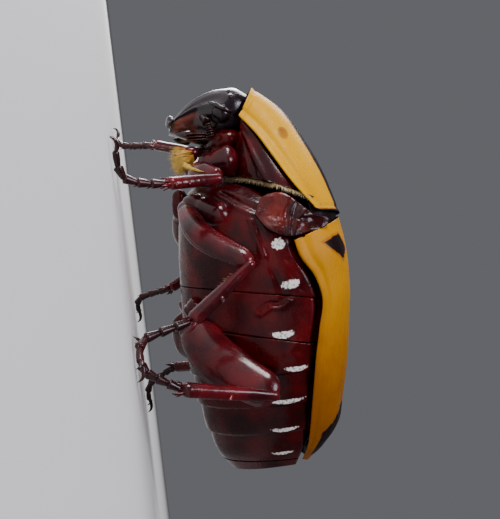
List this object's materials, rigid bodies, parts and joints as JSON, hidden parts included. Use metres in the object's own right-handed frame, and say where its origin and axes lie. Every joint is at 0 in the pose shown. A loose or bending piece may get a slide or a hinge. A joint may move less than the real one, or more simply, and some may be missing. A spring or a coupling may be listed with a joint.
{
  "type": "ornate sun chafer",
  "caption": "Flower beetle with glossy maroon underside, yellow wing cases and shield, bristled mouth, standing on its six legs.",
  "frame": {"origin": "on the floor, under the middle of the model's length and of its width", "axes": "the head faces -X, the animal's left side is -Y, the back is up (+Z)"},
  "size_m": [0.0195, 0.0184, 0.0111],
  "materials": {
    "maroon_cuticle": "polished",
    "leg_cuticle": "polished",
    "black_cuticle": "glossy",
    "eye": "glossy",
    "yellow_cuticle": "satin",
    "bristle": "matt"
  },
  "bodies": {
    "root": {"abdomen": "maroon_cuticle", "antenna_left": "leg_cuticle", "antenna_right": "leg_cuticle", "coxa_fore_left": "leg_cuticle", "coxa_fore_right": "leg_cuticle", "coxa_hind_left": "leg_cuticle", "coxa_hind_right": "leg_cuticle", "coxa_mid_left": "leg_cuticle", "coxa_mid_right": "leg_cuticle", "eye_left": "eye", "eye_right": "eye", "femur_fore_left": "leg_cuticle", "femur_fore_right": "leg_cuticle", "femur_hind_left": "leg_cuticle", "femur_hind_right": "leg_cuticle", "femur_mid_left": "leg_cuticle", "femur_mid_right": "leg_cuticle", "head": "black_cuticle", "hind_coxa_plate_left": "maroon_cuticle", "hind_coxa_plate_right": "maroon_cuticle", "labium": "maroon_cuticle", "maxilla_left": "bristle", "maxilla_right": "bristle", "mesepimeron_left": "maroon_cuticle", "mesepimeron_right": "maroon_cuticle", "metathorax": "maroon_cuticle", "pronotum": "yellow_cuticle", "prothorax": "maroon_cuticle", "pygidium": "maroon_cuticle", "scutellum": "black_cuticle", "tarsus_fore_left": "black_cuticle", "tarsus_fore_right": "black_cuticle", "tarsus_hind_left": "black_cuticle", "tarsus_hind_right": "black_cuticle", "tarsus_mid_left": "black_cuticle", "tarsus_mid_right": "black_cuticle", "tibia_fore_left": "leg_cuticle", "tibia_fore_right": "leg_cuticle", "tibia_hind_left": "leg_cuticle", "tibia_hind_right": "leg_cuticle", "tibia_mid_left": "leg_cuticle", "tibia_mid_right": "leg_cuticle", "wing_case_left": "yellow_cuticle", "wing_case_right": "yellow_cuticle"}
  },
  "joints": []
}
